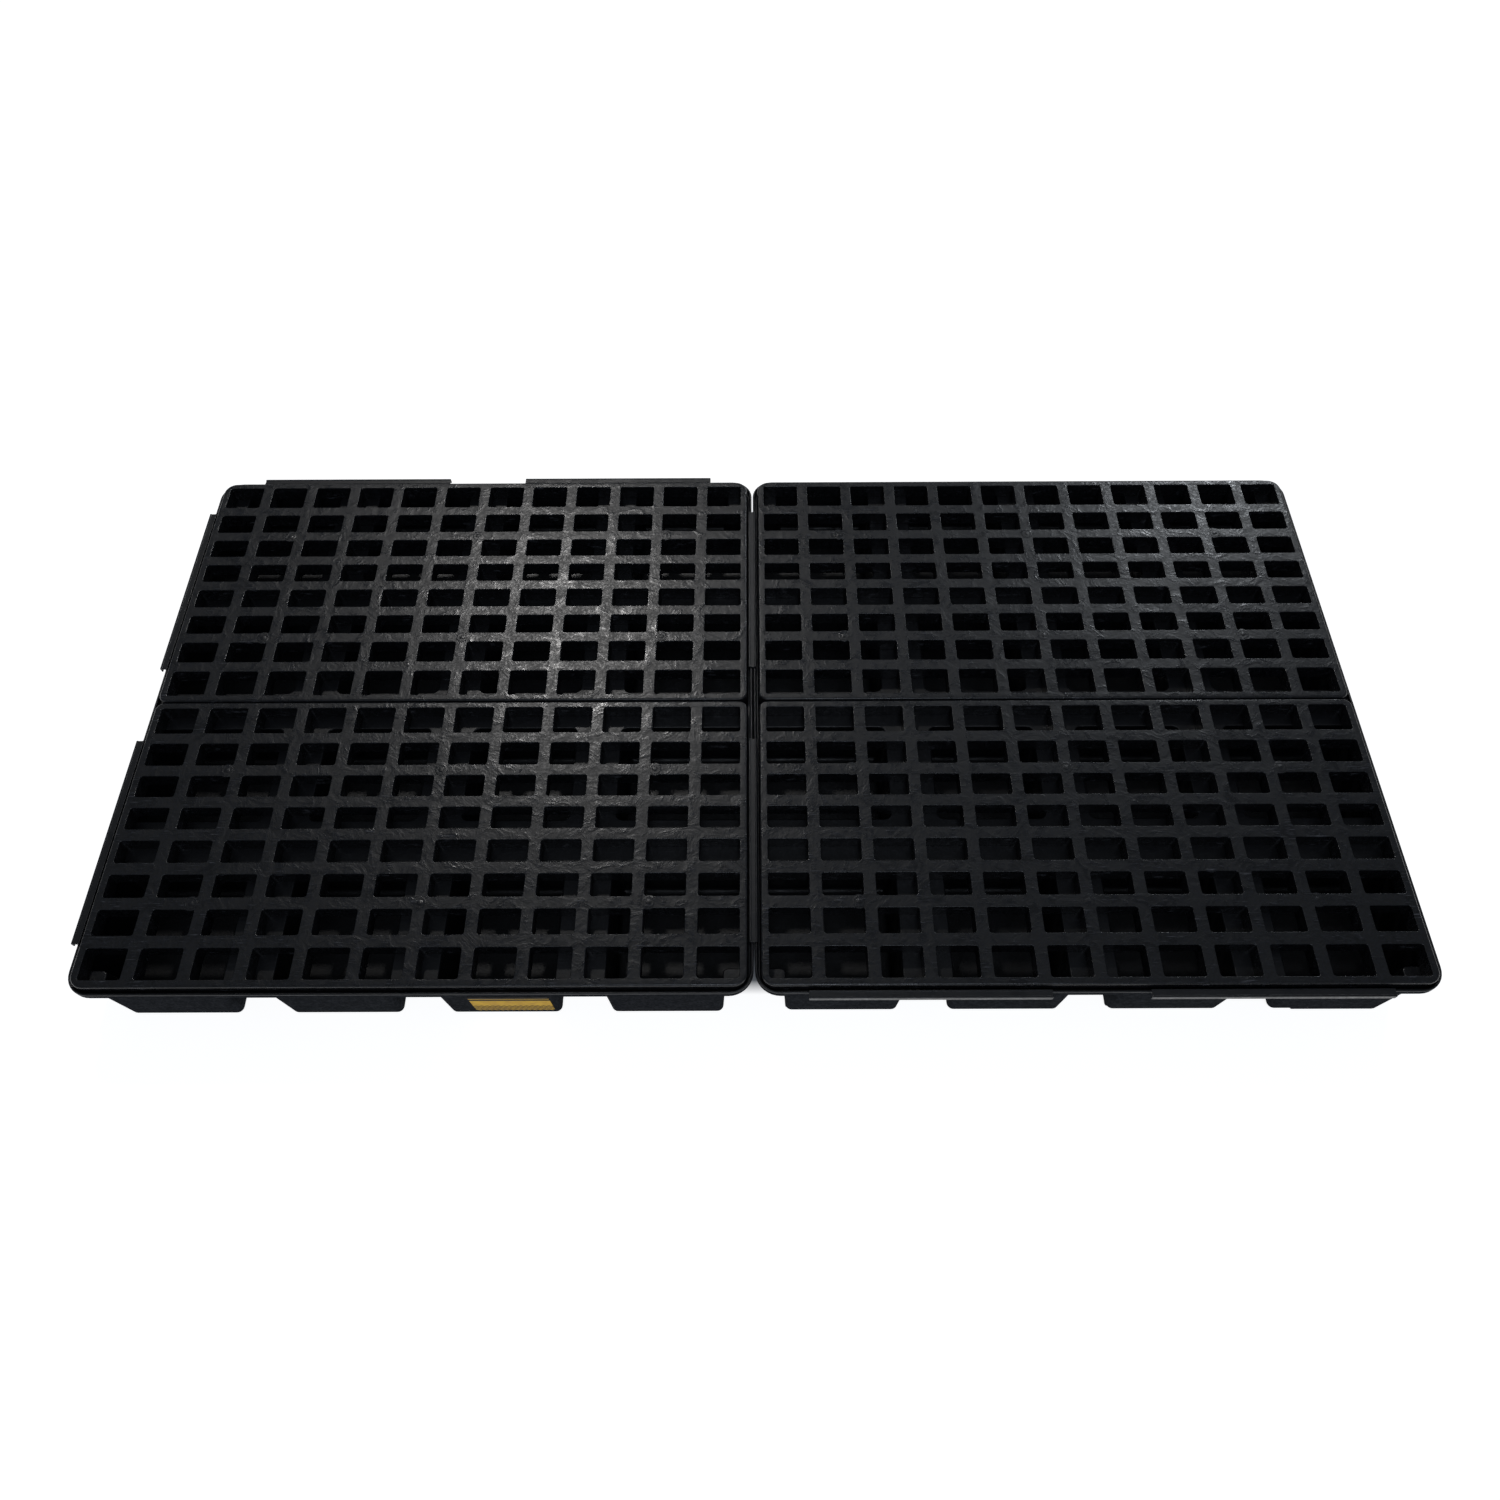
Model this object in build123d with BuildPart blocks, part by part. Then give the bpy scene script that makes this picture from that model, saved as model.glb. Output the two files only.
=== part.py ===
"""Spill containment pallet: two interlocking square sumps, each with two lift-off grates.

Millimetres, +Z up, floor at Z = 0. X runs along the pair of sumps, Y from front to back.
The right sump is the same moulding as the left one, turned a quarter turn anticlockwise.
"""
import os
from math import atan2, degrees, radians, tan

from build123d import *

# Driving sizes of one sump
SUMP_SIZE = 1305.0          # outer side of the square rim
PITCH = 1308.0              # centre to centre of the two sumps
RIM_TOP = 153.0             # height of the rim's top edge
RIM_STEP = 142.0            # the rim band ends here and the wall steps inwards
RIM_WALL = 5.0              # thickness of the rim band
RIM_CORNER = 48.0           # plan radius of the rim's corners
SHELF_TOP = 126.7           # ridges and shelf that the grates rest over
SHELF_THICK = 6.0
WALL = 5.0                  # walls and floors of the wells
NECK_HALF = 647.5           # half width of the wall below the rim band, outside
GRATE_WELL_HALF = 642.3     # half width of the recess that holds the grates

# Feet: four by four hollow pods, each the outside of one well
FOOT_INNER = (48.0, 269.5)  # near and far edge of an inner foot at the floor, from the centre line
FOOT_OUTER = (369.5, 639.0)
FOOT_NOTCH = 47.0           # square taken out of each corner foot under the rim's corner
FOOT_TOP_SPREAD = 6.0       # how much further out a foot's wall stands at the shelf
FOOT_STEP_HEIGHT = 14.0     # small steps in the feet on the first lip side
FOOT_STEP_DEPTH = 40.0
FOOT_CUT_MARGIN = 20.0      # the cut for a step starts this far outside the foot
FOOT_STEPS = ((369.5, 412.0), (269.5, 221.0), (-369.5, -412.0))  # from a foot's edge inwards

# Hooked lips on two sides of each sump
LIP_CENTRE = 322.0          # lip centre from the middle of the side
LIP_LENGTH = 458.0
LIP_REACH = 11.0            # how far a lip stands out past the rim
LIP_PLATE_BOTTOM = 153.4    # clears the neighbour's rim
LIP_TOP = 157.0
LIP_HOOK_WALL = 2.6
LIP_HOOK_BOTTOM = 145.0
LIP_ROOT_BOTTOM = 148.0     # the lip is moulded over the rim's top edge from here up

# Grates
GRATE_TOP = 165.0
GRATE_BOTTOM = 127.0
GRATE_SKIN = 5.0            # thickness of the bars' top skin
COLUMNS = 12
COLUMN_OPENING = 81.0
COLUMN_BAR = 25.4
ROW_OPENINGS = (62.8, 53.0, 48.8, 48.8, 48.8, 48.8, 53.0, 62.8)
ROW_BAR = 26.0
GRATE_FRAME = 15.5          # frame around the openings
GRATE_GAP = 3.0             # between the front and back grate
GRATE_OUTER_CORNER = 28.0
GRATE_INNER_CORNER = 18.0
BAR_WALL = 4.0              # side walls of the hollow bars

# Marking plate on the left sump
PLATE_SIZE = (156.0, 92.0)
PLATE_THICK = 1.0
PLATE_CORNER = 3.0
PLATE_CENTRE_X = 180.0      # from the sump's centre line
PLATE_CENTRE_HEIGHT = 68.0

# Worked out from the driving sizes
seam_x = LIP_REACH / 2      # centres the whole pair on the origin
left_centre_x = seam_x - PITCH / 2
right_centre_x = seam_x + PITCH / 2
half = SUMP_SIZE / 2
shelf_bottom = SHELF_TOP - SHELF_THICK
draft = degrees(atan2(FOOT_TOP_SPREAD, shelf_bottom))
foot_spans = [(-b, -a) for a, b in (FOOT_OUTER, FOOT_INNER)] + [FOOT_INNER, FOOT_OUTER]
grate_length = COLUMNS * COLUMN_OPENING + (COLUMNS - 1) * COLUMN_BAR + 2 * GRATE_FRAME
grate_depth = sum(ROW_OPENINGS) + (len(ROW_OPENINGS) - 1) * ROW_BAR + 2 * GRATE_FRAME
grate_centre_y = (grate_depth + GRATE_GAP) / 2

left_unit = Plane(origin=(left_centre_x, 0, 0), x_dir=(1, 0, 0), z_dir=(0, 0, 1))
right_unit = Plane(origin=(right_centre_x, 0, 0), x_dir=(0, 1, 0), z_dir=(0, 0, 1))


def foot_outline(span_x, span_y, inset):
    """Plan of one foot, drawn inset from its outline at the floor; corner feet lose a square."""
    (x0, x1), (y0, y1) = span_x, span_y
    corner_x = max(abs(x0), abs(x1)) == FOOT_OUTER[1]
    corner_y = max(abs(y0), abs(y1)) == FOOT_OUTER[1]
    sx = 1 if x1 > 0 else -1
    sy = 1 if y1 > 0 else -1
    near_x, far_x = sorted((abs(x0), abs(x1)))
    near_y, far_y = sorted((abs(y0), abs(y1)))
    near_x, near_y = near_x + inset, near_y + inset
    far_x, far_y = far_x - inset, far_y - inset
    if not (corner_x and corner_y):
        points = [(near_x, near_y), (far_x, near_y), (far_x, far_y), (near_x, far_y)]
    else:
        points = [(near_x, near_y), (far_x, near_y), (far_x, far_y - FOOT_NOTCH),
                  (far_x - FOOT_NOTCH, far_y - FOOT_NOTCH), (far_x - FOOT_NOTCH, far_y),
                  (near_x, far_y)]
    return [(sx * x, sy * y) for x, y in points]


def build_sump(unit, label):
    """One sump: rim, shelf with ridges, sixteen wells that stand on the floor as feet, and lips."""
    with BuildPart() as sump:
        # Shelf and ridges
        with BuildSketch(unit.offset(shelf_bottom)):
            RectangleRounded(2 * NECK_HALF, 2 * NECK_HALF, RIM_CORNER - RIM_WALL)
        extrude(amount=SHELF_THICK)
        # Wall around the grates, then the wider rim band above it
        with BuildSketch(unit.offset(shelf_bottom)):
            RectangleRounded(2 * NECK_HALF, 2 * NECK_HALF, RIM_CORNER - RIM_WALL)
            RectangleRounded(2 * GRATE_WELL_HALF, 2 * GRATE_WELL_HALF,
                             GRATE_OUTER_CORNER, mode=Mode.SUBTRACT)
        extrude(amount=RIM_STEP - shelf_bottom)
        with BuildSketch(unit.offset(RIM_STEP - WALL)):
            RectangleRounded(2 * half, 2 * half, RIM_CORNER)
            RectangleRounded(2 * GRATE_WELL_HALF, 2 * GRATE_WELL_HALF,
                             GRATE_OUTER_CORNER, mode=Mode.SUBTRACT)
        extrude(amount=WALL)
        with BuildSketch(unit.offset(RIM_STEP)):
            RectangleRounded(2 * half, 2 * half, RIM_CORNER)
            RectangleRounded(2 * (half - RIM_WALL), 2 * (half - RIM_WALL),
                             RIM_CORNER - RIM_WALL, mode=Mode.SUBTRACT)
        extrude(amount=RIM_TOP - RIM_STEP)
        # Feet, widening upwards to the shelf
        for span_x in foot_spans:
            for span_y in foot_spans:
                with BuildSketch(unit):
                    Polygon(*foot_outline(span_x, span_y, 0), align=None)
                extrude(amount=shelf_bottom, taper=-draft)
        # Wells inside the feet, open through the shelf
        floor_inset = WALL - WALL * tan(radians(draft))
        for span_x in foot_spans:
            for span_y in foot_spans:
                with BuildSketch(unit.offset(WALL)):
                    Polygon(*foot_outline(span_x, span_y, floor_inset), align=None)
                extrude(amount=SHELF_TOP - WALL, taper=-draft, mode=Mode.SUBTRACT)
        # Steps in the feet under the first lip side: thicken the floor inside, then cut below
        for edge, end in FOOT_STEPS:
            inwards = 1 if end > edge else -1
            fill_end = end + inwards * WALL
            cut_start = edge - inwards * FOOT_CUT_MARGIN
            fill_depth = FOOT_STEP_DEPTH + WALL
            with BuildSketch(unit):
                with Locations((-FOOT_OUTER[1] + fill_depth / 2, (edge + fill_end) / 2)):
                    Rectangle(fill_depth, abs(fill_end - edge))
            extrude(amount=FOOT_STEP_HEIGHT + WALL)
            cut_depth = FOOT_STEP_DEPTH + FOOT_CUT_MARGIN
            with BuildSketch(unit):
                with Locations((-FOOT_OUTER[1] + FOOT_STEP_DEPTH - cut_depth / 2,
                                (cut_start + end) / 2)):
                    Rectangle(cut_depth, abs(end - cut_start))
            extrude(amount=FOOT_STEP_HEIGHT, mode=Mode.SUBTRACT)
        # Hooked lips over the neighbour's rim
        for turn in (0, 1):
            for centre in (-LIP_CENTRE, LIP_CENTRE):
                root_size = (RIM_WALL, LIP_LENGTH)
                plate_size = (RIM_WALL + LIP_REACH, LIP_LENGTH)
                hook_size = (LIP_HOOK_WALL, LIP_LENGTH)
                layers = ((LIP_ROOT_BOTTOM, -half + RIM_WALL / 2, root_size),
                          (LIP_PLATE_BOTTOM, -half + (RIM_WALL - LIP_REACH) / 2, plate_size),
                          (LIP_HOOK_BOTTOM, -half - LIP_REACH + LIP_HOOK_WALL / 2, hook_size))
                for bottom, across, size in layers:
                    place = (across, centre) if turn == 0 else (centre, -across)
                    plan = size if turn == 0 else size[::-1]
                    with BuildSketch(unit.offset(bottom)):
                        with Locations(place):
                            Rectangle(*plan)
                    extrude(amount=LIP_TOP - bottom)
    sump.part.label = label
    return sump.part


def build_grate(centre_x, side, label):
    """One lift-off grate of hollow bars; side is -1 for the front one and +1 for the back one."""
    plane = Plane(origin=(centre_x, side * grate_centre_y, 0), x_dir=(side, 0, 0), z_dir=(0, 0, 1))
    column_pitch = COLUMN_OPENING + COLUMN_BAR
    with BuildPart() as grate:
        with BuildSketch(plane.offset(GRATE_BOTTOM)):
            RectangleRounded(grate_length, grate_depth, GRATE_OUTER_CORNER)
            with Locations((0, -grate_depth / 4)):
                RectangleRounded(grate_length, grate_depth / 2, GRATE_INNER_CORNER)
        extrude(amount=GRATE_TOP - GRATE_BOTTOM)
        # Openings right through
        row_low = -grate_depth / 2 + GRATE_FRAME
        rows = []
        for depth in ROW_OPENINGS:
            rows.append((row_low + depth / 2, depth))
            row_low += depth + ROW_BAR
        with BuildSketch(plane.offset(GRATE_BOTTOM)):
            for row_y, depth in rows:
                with Locations((0, row_y)):
                    with GridLocations(column_pitch, 0, COLUMNS, 1):
                        Rectangle(COLUMN_OPENING, depth)
        extrude(amount=GRATE_TOP - GRATE_BOTTOM, mode=Mode.SUBTRACT)
        # Hollow undersides of the bars
        hollow_y = grate_depth - 2 * GRATE_FRAME
        with BuildSketch(plane.offset(GRATE_BOTTOM)):
            with GridLocations(column_pitch, 0, COLUMNS - 1, 1):
                Rectangle(COLUMN_BAR - 2 * BAR_WALL, hollow_y + 2 * BAR_WALL)
            for (row_y, depth), (next_y, next_depth) in zip(rows, rows[1:]):
                bar_y = (row_y + depth / 2 + next_y - next_depth / 2) / 2
                with Locations((0, bar_y)):
                    Rectangle(grate_length - 2 * GRATE_FRAME + 2 * BAR_WALL, ROW_BAR - 2 * BAR_WALL)
        extrude(amount=GRATE_TOP - GRATE_BOTTOM - GRATE_SKIN, mode=Mode.SUBTRACT)
    grate.part.label = label
    return grate.part


def build_plate(label):
    """Thin marking plate on the drafted front face of the left sump's third foot."""
    face_y = -(FOOT_OUTER[1] + PLATE_CENTRE_HEIGHT * tan(radians(draft)))
    lean = Plane(origin=(left_centre_x + PLATE_CENTRE_X, face_y, PLATE_CENTRE_HEIGHT),
                 x_dir=(1, 0, 0), z_dir=(0, -1, -tan(radians(draft))))
    with BuildPart() as plate:
        with BuildSketch(lean):
            RectangleRounded(*PLATE_SIZE, PLATE_CORNER)
        extrude(amount=PLATE_THICK)
    plate.part.label = label
    return plate.part


parts = [
    build_sump(left_unit, "left_sump"),
    build_sump(right_unit, "right_sump"),
    build_grate(left_centre_x, -1, "left_front_grate"),
    build_grate(left_centre_x, 1, "left_back_grate"),
    build_grate(right_centre_x, -1, "right_front_grate"),
    build_grate(right_centre_x, 1, "right_back_grate"),
    build_plate("marking_plate"),
]

os.makedirs("parts", exist_ok=True)
for part in parts:
    export_step(part, f"parts/{part.label}.step")
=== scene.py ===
"""Looks of a spill containment pallet: two sumps that hook together, each with two lift-off grates.

Everything is black polyethylene off an injection press, apart from one yellow marking plate.
Lengths are millimetres in each moulding's own frame until a piece is placed, then metres.
"""

from math import atan, atan2, cos, pi, radians, sin

import bmesh
import bpy
from mathutils import Euler, Matrix, Vector
from mathutils.geometry import tessellate_polygon


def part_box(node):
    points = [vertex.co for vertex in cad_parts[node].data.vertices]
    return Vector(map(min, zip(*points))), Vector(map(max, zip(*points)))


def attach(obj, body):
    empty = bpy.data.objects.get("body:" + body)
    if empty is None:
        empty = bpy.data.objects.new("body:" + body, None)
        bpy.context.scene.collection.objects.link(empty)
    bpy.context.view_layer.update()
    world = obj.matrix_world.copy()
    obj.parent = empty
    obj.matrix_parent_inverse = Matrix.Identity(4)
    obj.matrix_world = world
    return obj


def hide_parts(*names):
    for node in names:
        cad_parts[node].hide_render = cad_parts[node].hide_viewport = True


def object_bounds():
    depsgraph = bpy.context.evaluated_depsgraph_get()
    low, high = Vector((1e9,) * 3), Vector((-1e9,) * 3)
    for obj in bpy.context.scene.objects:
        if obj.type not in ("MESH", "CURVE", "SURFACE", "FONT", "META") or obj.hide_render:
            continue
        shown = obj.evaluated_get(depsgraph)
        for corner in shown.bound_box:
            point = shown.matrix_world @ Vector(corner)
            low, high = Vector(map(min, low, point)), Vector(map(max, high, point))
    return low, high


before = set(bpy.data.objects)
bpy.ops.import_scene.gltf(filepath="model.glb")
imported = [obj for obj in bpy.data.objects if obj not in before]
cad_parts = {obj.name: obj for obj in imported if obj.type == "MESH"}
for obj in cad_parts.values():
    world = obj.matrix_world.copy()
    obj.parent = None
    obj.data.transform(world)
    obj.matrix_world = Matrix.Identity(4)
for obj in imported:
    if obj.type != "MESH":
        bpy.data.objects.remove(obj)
cad_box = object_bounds()

MM = 0.001
QUARTER = pi / 2

# Sump
RIM_HALF = 652.5
RIM_TOP = 153.0
RIM_WALL = 5.0
RIM_LEDGE = 142.0           # groove floor between grate and rim
BAND_BOTTOM = 137.0         # underside of the rim's outer band
RIM_CORNER = 48.0
NECK_HALF = 647.5
NECK_FOOT_HALF = 646.0      # the neck draws in a little down to the shelf
RECESS_HALF = 642.3
RECESS_CORNER = 28.0
SHELF_TOP = 126.7
SHELF_BOTTOM = 120.7
WALL = 5.0
FOOT_INNER = (48.0, 269.5)
FOOT_OUTER = (369.5, 639.0)
FOOT_NOTCH = 47.0
FOOT_SPREAD = 6.0           # a foot stands this much further out at the shelf
FOOT_CORNER = 12.0          # upright edges of a foot
FOOT_BOTTOM_ROUND = 8.0
WELL_FLOOR_ROUND = 12.0
WELL_LIP_ROUND = 3.5
STEP_HEIGHT = 14.0
STEP_DEPTH = 40.0
STEP_SLOPE = 8.0
STEPS = ((369.5, 412.0), (269.5, 221.0), (-369.5, -412.0))
OUTSIDE = 1                 # second finish of a sump: the etched feet, neck and outer band
SHELF_EASE = 4.0            # round between the shelf and the wall of the recess
LEDGE_EASE = 1.2
GROOVE_EASE = 1.5
BAND_EASE = 1.6
NECK_EASE = 1.2
FOOT_MIDDLE = 60.0          # height of the ring halfway up a foot
SOLE = 50.0                 # faces and corners below this belong to the bottom of a foot
STEP_MARGIN = 20.0
STEP_SEARCH_X = 200.0       # how far in, and how far along, faces are taken up to be cut
STEP_SEARCH_Y = 300.0

# Hooked lips
LIP_CENTRE = 322.0
LIP_LENGTH = 458.0
LIP_REACH = 11.0
LIP_TOP = 157.0
LIP_HOOK_BOTTOM = 145.0
LIP_HOOK_INSIDE = 8.4       # inner face of the hook, outwards from the rim
LIP_PLATE_BOTTOM = 153.4
LIP_PLATE_END = 0.3         # the plate leaves the rim here
LIP_ROOT = -5.3             # the lip's edge on the inner side of the rim
LIP_ROOT_BOTTOM = 148.0
LIP_GROOVE = 156.0          # floor of the shallow groove along the top
LIP_END_EASE = 0.8

# Grate
DECK = 164.6                # bars' flat tops; the gate marks stand 0.4 above them
GRATE_BOTTOM = 127.0
GRATE_CEILING = 160.0       # top of the hollow inside the bars
COLUMNS = 12
OPENING_LENGTH = 81.0
COLUMN_PITCH = 106.4
END_ROW, SECOND_ROW, MIDDLE_ROW = 62.8, 53.0, 48.8
ROW_BAR = 26.0
GRATE_FRAME = 15.5
OPENING_CORNER = 5.0
BAR_EDGE_ROUND = 1.5
FRAME_EDGE_ROUND = 4.5
BAR_WALL = 4.0
GRATE_OUTER_CORNER = 28.0
GRATE_INNER_CORNER = 18.0
WALL_FOOT_EASE = 0.8        # lower edges of the bars and the frame
MIDDLE_ROWS = 4
GATE_MARKS_APART = (896.0, 299.2)
GATE_MARK_SIDES = 36

# Marking plate
PLATE_SIZE = (156.0, 92.0)
PLATE_CENTRE = (180.0, 68.0)
PLATE_THICK = 1.0
PLATE_CORNER = 3.0
STRIPE_PITCH = 0.011        # metres, along the plate

# Studio, in metres
FLOOR_HALF = 9.0
FLOOR_DROP = 0.0004         # the floor lies this far under the feet
UNLIT_INSET = 0.06          # the floor's glow fades from this far inside the pallet's edge
UNLIT_EDGE = 0.03           # and is gone this much further in
FLOOR_GLOW = 0.88

CREASE = radians(42)        # sharper edges than this stay crisp


# ---------------------------------------------------------------- outlines and skins

def rounded_loop(corners, radii, grow=0.0, segments=5):
    """Points round a counterclockwise polygon with rounded corners, moved outwards by grow."""
    count = len(corners)
    radii = radii if hasattr(radii, "__len__") else [radii] * count
    points = []
    for k in range(count):
        before, here, after = (Vector(corners[(k + s) % count]) for s in (-1, 0, 1))
        into, out = (here - before).normalized(), (after - here).normalized()
        normal_in, normal_out = Vector((into.y, -into.x)), Vector((out.y, -out.x))
        miter = (normal_in + normal_out) / (1 + normal_in.dot(normal_out))
        side = 1 if into.cross(out) > 0 else -1
        radius = max(radii[k] + side * grow, 0.2)
        centre = here + miter * grow - side * radius * miter
        start = atan2(normal_in.y, normal_in.x)
        turn = atan2(into.cross(out), into.dot(out))
        for step in range(segments + 1):
            angle = start + turn * step / segments
            points.append(centre + side * radius * Vector((cos(angle), sin(angle))))
    return points


def rectangle(x0, x1, y0, y1):
    """Corners of a rectangle, counterclockwise."""
    return [(x0, y0), (x1, y0), (x1, y1), (x0, y1)]


def arc_steps(start, end, steps=4):
    """Angles from start to end, both included."""
    return [start + (end - start) * k / steps for k in range(steps + 1)]


def skin(bm, rings, finish=0):
    """Quads between closed rings of points; gives the rings' vertices back."""
    loops = [[bm.verts.new(point) for point in ring] for ring in rings]
    for low, high in zip(loops, loops[1:]):
        for k in range(len(low)):
            face = bm.faces.new((low[k - 1], low[k], high[k], high[k - 1]))
            face.material_index = finish
    return loops


def cap(bm, outer, holes=(), finish=0):
    """Flat face inside the outer loop and around the holes."""
    loops = [outer, *holes]
    verts = [vert for loop in loops for vert in loop]
    for triangle in tessellate_polygon([[vert.co for vert in loop] for loop in loops]):
        if len(set(triangle)) == 3:
            bm.faces.new([verts[k] for k in triangle]).material_index = finish


def at_height(loop, z):
    """Lifts a plan loop to a height."""
    return [Vector((point.x, point.y, z)) for point in loop]


def new_mesh(bm, name):
    """Closes seams, turns every face outwards and gives the result as a new mesh."""
    bmesh.ops.remove_doubles(bm, verts=bm.verts, dist=1e-6)
    bmesh.ops.recalc_face_normals(bm, faces=bm.faces)
    mesh = bpy.data.meshes.new(name)
    bm.to_mesh(mesh)
    bm.free()
    return mesh


def add_object(name, mesh):
    """Puts a mesh into the scene under its name."""
    piece = bpy.data.objects.new(name, mesh)
    bpy.context.scene.collection.objects.link(piece)
    return piece


def helper_object(name, bm):
    """A mesh in metres on an object of its own: a part of the studio, or a shape for a node tree."""
    mesh = bpy.data.meshes.new(name)
    bm.to_mesh(mesh)
    bm.free()
    return add_object(name, mesh)


def finish_piece(name, mesh, finishes, body, node):
    """Shades a finished mesh, and puts it in place of its node on its body."""
    piece = add_object(name, mesh)
    for material in finishes:
        mesh.materials.append(material)
    mesh.shade_smooth()
    mesh.set_sharp_from_angle(angle=CREASE)
    shading = piece.modifiers.new("weighted_normals", "WEIGHTED_NORMAL")
    shading.keep_sharp = True
    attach(piece, body)
    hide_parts(node)


# ---------------------------------------------------------------- materials

def linear(hex_colour):
    """An sRGB hex colour as the linear RGBA that the shaders take."""
    values = [int(hex_colour[k:k + 2], 16) / 255 for k in (0, 2, 4)]
    return (*[v / 12.92 if v <= 0.04045 else ((v + 0.055) / 1.055) ** 2.4 for v in values], 1.0)


def add(tree, kind, inputs=None, stops=(), **settings):
    """Adds a node; settings are its properties, inputs are values or sockets to link, and stops
    are a ramp's (position, grey or colour)."""
    node = tree.nodes.new(kind)
    for key, value in settings.items():
        setattr(node, key, value)
    for key, value in (inputs or {}).items():
        for item in value if isinstance(value, list) else [value]:
            if isinstance(item, bpy.types.NodeSocket):
                tree.links.new(item, node.inputs[key])
            else:
                node.inputs[key].default_value = item
    if stops:
        elements = node.color_ramp.elements
        while len(elements) < len(stops):
            elements.new(0.5)
        for element, (position, colour) in zip(elements, stops):
            element.position = position
            element.color = colour if hasattr(colour, "__len__") else (colour, colour, colour, 1)
    return node


def new_material(name):
    """An empty material and its node tree."""
    material = bpy.data.materials.new(name)
    material.use_nodes = True
    tree = material.node_tree
    tree.nodes.clear()
    return material, tree


def moulded_polyethylene(name, dark, pale, roughness, specular, flow_depth, wear):
    """Injection-moulded HDPE: waxy black whose soft sheen is broken up by a fine pebbled grain,
    cloudy flow marks and, where drums were dragged over it, short pale scuffs and nicks."""
    material, tree = new_material(name)
    place = add(tree, "ShaderNodeTexCoord").outputs["Object"]

    # Flow marks about 40 mm across, mottle about 12 mm, and the pebbled grain: that is about
    # 0.5 mm on the real surface, and it is drawn 5 mm wide so that it shows
    clouds, mottle, grain = (
        add(tree, "ShaderNodeTexNoise", {"Vector": place, "Scale": scale, "Detail": detail,
                                         "Roughness": rough, "Distortion": twist}).outputs["Fac"]
        for scale, detail, rough, twist in ((24.0, 4.0, 0.6, 1.2), (85.0, 4.0, 0.7, 0.8),
                                            (200.0, 2.0, 0.6, 0.0)))
    # Scuffs: thin streaks 30 to 45 mm long in two directions, only on the worn patches
    streaks = []
    for turn, stretch in ((0.5, (22.0, 330.0, 90.0)), (2.2, (30.0, 420.0, 90.0))):
        turned = add(tree, "ShaderNodeMapping", {"Vector": place, "Rotation": (0, 0, turn),
                                                 "Scale": stretch}).outputs["Vector"]
        streak = add(tree, "ShaderNodeTexNoise", {"Vector": turned, "Scale": 1.0, "Detail": 3.0,
                                                  "Roughness": 0.6}).outputs["Fac"]
        streaks.append(add(tree, "ShaderNodeValToRGB", {"Fac": streak},
                           [(0.60, 0.0), (0.70, 1.0)]).outputs["Color"])
    scratched = add(tree, "ShaderNodeMath", {0: streaks[0], 1: streaks[1]},
                    operation="MAXIMUM").outputs[0]
    patches = add(tree, "ShaderNodeValToRGB", {"Fac": clouds},
                  [(0.48, 0.0), (0.64, 1.0)]).outputs["Color"]
    nicks = add(tree, "ShaderNodeValToRGB", {"Fac": mottle},
                [(0.62, 0.0), (0.72, 1.0)]).outputs["Color"]
    worn_marks = []
    for mark, strength in ((scratched, wear), (nicks, wear * 0.6)):
        kept = add(tree, "ShaderNodeMath", {0: mark, 1: patches}, operation="MULTIPLY").outputs[0]
        worn_marks.append(add(tree, "ShaderNodeMath", {0: kept, 1: strength},
                              operation="MULTIPLY").outputs[0])
    marks = add(tree, "ShaderNodeMath", {0: worn_marks[0], 1: worn_marks[1]},
                operation="MAXIMUM").outputs[0]
    pebbles = add(tree, "ShaderNodeMath", {0: mottle, 1: grain}, operation="MULTIPLY").outputs[0]
    speckle = add(tree, "ShaderNodeValToRGB", {"Fac": pebbles},
                  [(0.20, 0.0), (0.32, 1.0)]).outputs["Color"]
    body = add(tree, "ShaderNodeMix", {0: speckle, 6: linear(dark), 7: linear(pale)},
               data_type="RGBA").outputs[2]
    worn = add(tree, "ShaderNodeMix", {0: marks, 6: body, 7: linear("54555A")},
               data_type="RGBA").outputs[2]
    low, high = roughness
    sheen = add(tree, "ShaderNodeMath", {0: patches, 1: speckle}, operation="ADD").outputs[0]
    sheen = add(tree, "ShaderNodeMath", {0: sheen, 1: 0.5}, operation="MULTIPLY").outputs[0]
    gloss = add(tree, "ShaderNodeValToRGB", {"Fac": sheen},
                [(0.0, high), (1.0, low)]).outputs["Color"]
    bumps = None
    for height, strength, depth in ((clouds, 0.5, flow_depth), (mottle, 0.35, 0.0007),
                                    (grain, 0.28, 0.0004)):
        inputs = {"Height": height, "Strength": strength, "Distance": depth}
        if bumps:
            inputs["Normal"] = bumps
        bumps = add(tree, "ShaderNodeBump", inputs).outputs["Normal"]
    shader = add(tree, "ShaderNodeBsdfPrincipled",
                 {"Base Color": worn, "Roughness": gloss, "IOR": 1.54,
                  "Specular IOR Level": specular, "Normal": bumps})
    add(tree, "ShaderNodeOutputMaterial", {"Surface": shader.outputs["BSDF"]})
    return material


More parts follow.
